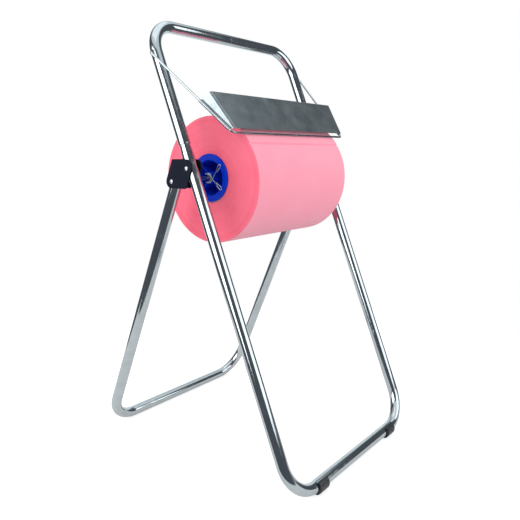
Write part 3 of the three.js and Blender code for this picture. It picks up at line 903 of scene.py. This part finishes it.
def makeCone(name, node, body, outward):
    mouth = endsOf(node, outward)[0]
    inward = -outward
    flangeBack = mouth + inward * cone["flangeThickness"]
    nose = flangeBack + inward * cone["depth"]
    floorX = nose - inward * cone["floor"]
    boss = cone["boreRadius"] + cone["bossWall"]
    opening = cone["bodyRadius"] - cone["wall"]
    bm = bmesh.new()
    turnAboutX(bm, [
        (flangeBack, cone["flangeRadius"]),
        (mouth, cone["flangeRadius"]),
        (mouth, opening),
        (floorX, cone["noseRadius"] - cone["wall"]),
        (floorX, boss),
        (mouth, boss),
        (mouth, cone["boreRadius"]),
        (nose, cone["boreRadius"]),
        (nose, cone["noseRadius"]),
        (flangeBack, cone["bodyRadius"]),
    ], spindleAt, closed=True)
    addRibs(
        bm, mouth + inward * cone["ribRecess"], floorX + inward * cone["ribOverlap"], boss,
        opening)
    bmesh.ops.recalc_face_normals(bm, faces=bm.faces[:])
    keepPiece(name, bm, body, blueMoulding, [node], bevel=cone["edge"])


makeCone("leftCone", "left_roll_cone", "left_cone", -1)
makeCone("rightCone", "right_roll_cone", "right_cone", 1)
print("cones made")


# Spring clips: a wire coil on the spindle with two arms and drop-shaped loops

clip = {
    "wireRadius": 0.00088,
    "coilRadius": 0.0098,
    "pitch": 0.0021,
    "fullTurns": 2,
    "pointsPerTurn": 36,
    "armSpread": math.radians(51.0),
    "turn": math.radians(4.0),
    "armLength": 0.042,
    "armShares": (0.1, 0.2, 0.3, 0.42),
    "loopLength": 0.018,
    "loopWidth": 0.0068,
    "loopShares": (
        (0.0, 0.0), (0.25, 0.15), (0.5, 0.29), (0.78, 0.39), (0.94, 0.23), (1.0, -0.12),
        (0.94, -0.46), (0.78, -0.62), (0.5, -0.54), (0.25, -0.48), (0.0, -0.43)),
    "lowerDrift": 0.006,
    "mouthGap": 0.0013,
    "sharpAngle": 50.0,
}


def clipArm(coilEnd, spread, drift, outward):
    # an arm's middle line with its loop, drifting inwards along X
    ahead = Vector((0, -math.cos(spread), math.sin(spread)))
    across = Vector((0, ahead.z, -ahead.y)) * math.copysign(1, spread)
    neck = clip["armLength"] - clip["loopLength"]
    places = [(clip["armLength"] * share, 0.0) for share in clip["armShares"]]
    places += [
        (neck + clip["loopLength"] * along, clip["loopWidth"] * aside)
        for along, aside in clip["loopShares"]]
    return [
        coilEnd + ahead * along + across * aside
        - xAxis * outward * drift * (along / clip["armLength"]) ** 2
        for along, aside in places]


def clipPoints(mouth, outward):
    # the wire's middle line: lower arm, coil and upper arm
    endAngle = math.pi / 2 + clip["armSpread"]
    sweep = 2 * endAngle + clip["fullTurns"] * math.tau
    innerX = mouth + outward * clip["mouthGap"]
    outerX = innerX + outward * clip["pitch"] * sweep / math.tau
    steps = math.ceil(clip["pointsPerTurn"] * sweep / math.tau)
    coil = []
    for step in range(steps + 1):
        angle = endAngle - sweep * step / steps
        coil.append(Vector((
            outerX + (innerX - outerX) * step / steps,
            spindleAt.y + clip["coilRadius"] * math.cos(angle),
            spindleAt.z + clip["coilRadius"] * math.sin(angle))))
    lower = clipArm(coil[0], -clip["armSpread"], clip["lowerDrift"], outward)
    upper = clipArm(coil[-1], clip["armSpread"], 0.0, outward)
    tilt = Matrix.Rotation(-clip["turn"], 3, "X")
    return [
        spindleAt + tilt @ (point - spindleAt) for point in (*reversed(lower), *coil, *upper)]


def wireAlong(name, points, radius):
    # a smooth round wire near the points, as a bmesh
    line = bpy.data.curves.new(name + "Line", "CURVE")
    line.dimensions = "3D"
    line.bevel_depth = radius
    line.bevel_resolution = 4
    line.use_fill_caps = True
    spline = line.splines.new("NURBS")
    spline.points.add(len(points) - 1)
    for point, place in zip(spline.points, points):
        point.co = (*place, 1.0)
    spline.order_u = 4
    spline.use_endpoint_u = True
    spline.resolution_u = 4
    wire = addObject(name + "Wire", line)
    bm = bmesh.new()
    bm.from_mesh(wire.to_mesh())
    wire.to_mesh_clear()
    bpy.data.objects.remove(wire)
    closeUp(bm)
    return bm


def makeClip(name, node, body, coneNode, outward):
    mouth = endsOf(coneNode, outward)[0]
    bm = wireAlong(name, clipPoints(mouth, outward), clip["wireRadius"])
    keepPiece(
        name, bm, body, satinSteel, [node], sharpAngle=clip["sharpAngle"])


makeClip("leftClip", "left_spring_clip", "left_cone", "left_roll_cone", -1)
makeClip("rightClip", "right_spring_clip", "right_cone", "right_roll_cone", 1)
print("spring clips made")


# Tear bar: the bail of wire, the sheet that it carries and its bushes. The bail is
# measured from its hole straight down, then turned until its bar lies on the roll.

bail = {
    "wireRadius": 0.0024,
    "topHalfWidth": 0.2587,
    "endInside": 0.2435,
    "drop": 0.237,
    "barHalfWidth": 0.205,
    "eyeBend": 0.004,
    "cornerBend": 0.010,
    "rollClear": 0.0003,
    "endEdge": 0.0003,
}
armTop = Vector((-bail["topHalfWidth"], 0, 0))
armFoot = Vector((-bail["barHalfWidth"], 0, -bail["drop"]))


def bailPlace():
    toRoll = rollAt - bailAt
    clear = roll["radius"] + bail["wireRadius"] + bail["rollClear"]
    between = math.acos(
        (bail["drop"] ** 2 + toRoll.length ** 2 - clear ** 2)
        / (2 * bail["drop"] * toRoll.length))
    down = math.atan2(toRoll.z, toRoll.y) - between
    turn = math.atan2(math.cos(down), -math.sin(down))
    return Matrix.Translation(bailAt) @ Matrix.Rotation(turn, 4, "X")


def makeBailWire(place):
    half = [Vector((-bail["endInside"], 0, 0)), armTop, armFoot]
    corners = half + [Vector((-corner.x, corner.y, corner.z)) for corner in reversed(half)]
    halfBends = [bail["eyeBend"], bail["cornerBend"]]
    bm = bmesh.new()
    rims = bentTube(
        bm, corners, halfBends + halfBends[::-1], bail["wireRadius"], sides=28, bendSteps=12)
    for rim in rims:
        bmesh.ops.edgeloop_fill(bm, edges=rim)
    bmesh.ops.transform(bm, matrix=place, verts=bm.verts[:])
    closeUp(bm)
    keepPiece(
        "bailWire", bm, "bail", brightWire, ["bail_wire"],
        bevel=bail["endEdge"])


plate = {
    "sheet": 0.001,
    "topHalfWidth": 0.219,
    "topDrop": 0.1488,
    "topForward": 0.0269,
    "lipDrop": 0.2333,
    "lipForward": 0.0083,
    "curlFrom": 0.010,
    "curlTo": 0.095,
    "curlSweep": math.radians(250.0),
    "curlSteps": 16,
    "foldRadius": 0.0048,
    "foldSteps": 8,
    "edge": 0.00025,
    "sharpAngle": 50.0,
}


def plateCorners(alongArm):
    # the left flange lies in the plane that runs along the arm, holds the panel's top
    # corner and touches the curl round the arm
    inward = Vector((alongArm.z, 0, -alongArm.x))
    curlRadius = bail["wireRadius"] + bail["rollClear"] + plate["sheet"] / 2
    top = Vector((-plate["topHalfWidth"], -plate["topForward"], -plate["topDrop"]))
    fromArm = top - armTop
    touch = math.atan2(fromArm.y, fromArm.dot(inward)) + math.acos(
        curlRadius / math.hypot(fromArm.dot(inward), fromArm.y))
    normal = inward * math.cos(touch) + yAxis * math.sin(touch)
    lipX = armTop.x + (
        curlRadius + normal.y * plate["lipForward"] + normal.z * plate["lipDrop"]) / normal.x
    lip = Vector((lipX, -plate["lipForward"], -plate["lipDrop"]))
    curlFoot = armFoot + normal * curlRadius
    return (
        lip, top, curlFoot + alongArm * plate["curlTo"], curlFoot + alongArm * plate["curlFrom"],
        Vector((0, lip.y, lip.z)), Vector((0, top.y, top.z)))


def makeTearPlate(place):
    # the left half is folded up, then mirrored
    alongArm = (armTop - armFoot).normalized()
    bm = bmesh.new()
    lipLeft, topLeft, curlHigh, curlLow, lipMiddle, topMiddle = (
        bm.verts.new(corner) for corner in plateCorners(alongArm))
    bm.faces.new((lipLeft, topLeft, curlHigh, curlLow))
    bm.faces.new((lipMiddle, topMiddle, topLeft, lipLeft))
    bmesh.ops.spin(
        bm, geom=[curlHigh, curlLow, bm.edges.get((curlHigh, curlLow))], cent=armFoot,
        axis=alongArm, angle=plate["curlSweep"], steps=plate["curlSteps"])
    bmesh.ops.bevel(
        bm, geom=[bm.edges.get((lipLeft, topLeft))], offset=plate["foldRadius"],
        segments=plate["foldSteps"], affect="EDGES", profile=0.5, material=-1,
        clamp_overlap=True)
    bmesh.ops.mirror(
        bm, geom=bm.verts[:] + bm.edges[:] + bm.faces[:], axis="X", merge_dist=1e-5)
    bmesh.ops.transform(bm, matrix=place, verts=bm.verts[:])
    closeUp(bm)
    keepPiece(
        "tearPlate", bm, "bail", zincSheet, ["tear_plate"],
        sheet=plate["sheet"], bevel=plate["edge"], sharpAngle=plate["sharpAngle"])


bush = {
    "flangeRadius": 0.0058,
    "flangeThickness": 0.001,
    "barrel": 0.004,
    "bore": 0.0027,
    "edge": 0.0003,
}


def makeBush(name, node, outward):
    outer, inner = endsOf(node, outward)
    flangeX = outer - outward * bush["flangeThickness"]
    bm = bmesh.new()
    turnAboutX(bm, [
        (outer, bush["bore"]),
        (outer, bush["flangeRadius"]),
        (flangeX, bush["flangeRadius"]),
        (flangeX, bush["barrel"]),
        (inner, bush["barrel"]),
        (inner, bush["bore"]),
    ], bailAt, steps=40, closed=True)
    keepPiece(
        name, bm, "bail_bushes", brightWire, [node], bevel=bush["edge"])


bailTurn = bailPlace()
makeBailWire(bailTurn)
makeTearPlate(bailTurn)
makeBush("leftBush", "left_bail_bush", -1)
makeBush("rightBush", "right_bail_bush", 1)
print("tear bar made")


# Stage: a pale floor, a white backdrop, soft lamps and the camera

stage = {
    "floorRadius": 1.2,
    "floorFront": 0.44,
    "floorColor": (0.6, 0.6, 0.6),
    "floorGlow": 0.64,
    "glossGlow": 0.39,
    "worldLight": 0.7,
    "belt": (0.105, 0.113, 0.128),
    "ceiling": (0.92, 0.98, 1.0),
    "beltTop": (0.66, 0.72),
    "backdropEdge": (0.74, 0.8),
    "cameraAt": (-1.05527, -0.85435, 0.68477),
    "cameraYaw": math.radians(51.267),
    "cameraPitch": math.radians(10.637),
    "lens": 39.16,
    "lampsAim": (0.0, 0.0, 0.5),
}
# the side lamp lights what is dull, and the card beside it is what the metal mirrors
lamps = {
    "frontLamp": {"at": (0.7, -2.5, 1.35), "size": (2.9, 1.7), "power": 29.0},
    "sideCard": {"at": (-2.72, 0.38, 1.2), "size": (2.8, 2.1), "power": 66.0, "diffuse": False},
    "sideLamp": {"at": (-2.5, 0.95, 1.35), "size": (3.6, 3.0), "power": 49.0, "glossy": False},
    "topLamp": {"at": (0.0, 0.2, 2.9), "size": (2.2, 2.2), "power": 8.0},
}
cameraAhead = Vector((math.sin(stage["cameraYaw"]), math.cos(stage["cameraYaw"]), 0))


def makeFloor():
    # a round floor, cut straight in front of the stand, pale to light and white to the camera
    bm = bmesh.new()
    bmesh.ops.create_circle(bm, cap_ends=True, segments=96, radius=stage["floorRadius"])
    bmesh.ops.bisect_plane(
        bm, geom=bm.verts[:] + bm.edges[:] + bm.faces[:],
        plane_co=-cameraAhead * stage["floorFront"], plane_no=cameraAhead, clear_inner=True)
    mesh = bpy.data.meshes.new("floor")
    bm.to_mesh(mesh)
    bm.free()
    paint, tree, shader = newMaterial("floorPaint", stage["floorColor"], roughness=1.0)
    shader.inputs["Specular IOR Level"].default_value = 0.0
    shader.inputs["Emission Strength"].default_value = stage["floorGlow"]
    path = addNode(tree, "ShaderNodeLightPath")
    direct = addMath(
        tree, "MAXIMUM", path.outputs["Is Camera Ray"], path.outputs["Is Transmission Ray"])
    mirrored = addMath(tree, "MULTIPLY", path.outputs["Is Glossy Ray"], stage["glossGlow"])
    shown = addMath(tree, "MAXIMUM", direct, mirrored)
    glow = mixColors(tree, shown, (0.0, 0.0, 0.0), (1.0, 1.0, 1.0))
    tree.links.new(glow, shader.inputs["Emission Color"])
    mesh.materials.append(paint)
    addObject("floor", mesh)


def makeWorld():
    # white behind the stand and overhead, with a dark room round the other sides
    world = bpy.data.worlds.new("studio")
    bpy.context.scene.world = world
    world.use_nodes = True
    tree = world.node_tree
    background = tree.nodes["Background"]
    ray = addNode(tree, "ShaderNodeTexCoord").outputs["Generated"]
    parts = addNode(tree, "ShaderNodeSeparateXYZ", {"Vector": ray})
    ahead = addNode(tree, "ShaderNodeVectorMath", {0: ray, 1: cameraAhead}, operation="DOT_PRODUCT")
    zones = []
    for value, (start, full) in (
            (parts.outputs["Z"], stage["beltTop"]),
            (ahead.outputs["Value"], stage["backdropEdge"])):
        zone = addNode(tree, "ShaderNodeMapRange", {
            "Value": value,
            "From Min": start,
            "From Max": full,
        })
        zones.append(zone.outputs["Result"])
    pale = addMath(tree, "MAXIMUM", *zones)
    studio = mixColors(tree, pale, stage["belt"], stage["ceiling"])
    path = addNode(tree, "ShaderNodeLightPath")
    glossy = path.outputs["Is Glossy Ray"]
    seen = mixColors(tree, glossy, (1.0, 1.0, 1.0), studio)
    tree.links.new(seen, background.inputs["Color"])
    shown = addMath(tree, "MAXIMUM", path.outputs["Is Camera Ray"], glossy)
    shown = addMath(tree, "MAXIMUM", shown, path.outputs["Is Transmission Ray"])
    strength = addNode(tree, "ShaderNodeMapRange", {
        "Value": shown,
        "To Min": stage["worldLight"],
        "To Max": 1.0,
    })
    tree.links.new(strength.outputs["Result"], background.inputs["Strength"])


def makeLamp(name, look):
    data = bpy.data.lights.new(name, "AREA")
    data.shape = "RECTANGLE"
    data.size, data.size_y = look["size"]
    data.energy = look["power"]
    lamp = addObject(name, data)
    lamp.visible_diffuse = look.get("diffuse", True)
    lamp.visible_glossy = look.get("glossy", True)
    lamp.location = look["at"]
    lamp.rotation_mode = "QUATERNION"
    aim = Vector(stage["lampsAim"]) - Vector(look["at"])
    lamp.rotation_quaternion = aim.to_track_quat("-Z", "Y")


def makeCamera():
    data = bpy.data.cameras.new("camera")
    data.lens = stage["lens"]
    data.sensor_width = 36.0
    camera = addObject("camera", data)
    camera.location = stage["cameraAt"]
    camera.rotation_euler = (math.pi / 2 - stage["cameraPitch"], 0, -stage["cameraYaw"])
    bpy.context.scene.camera = camera


makeFloor()
makeWorld()
for lampName, lampLook in lamps.items():
    makeLamp(lampName, lampLook)
makeCamera()
bpy.context.scene.view_settings.view_transform = "Standard"
print("stage, lamps and camera made")
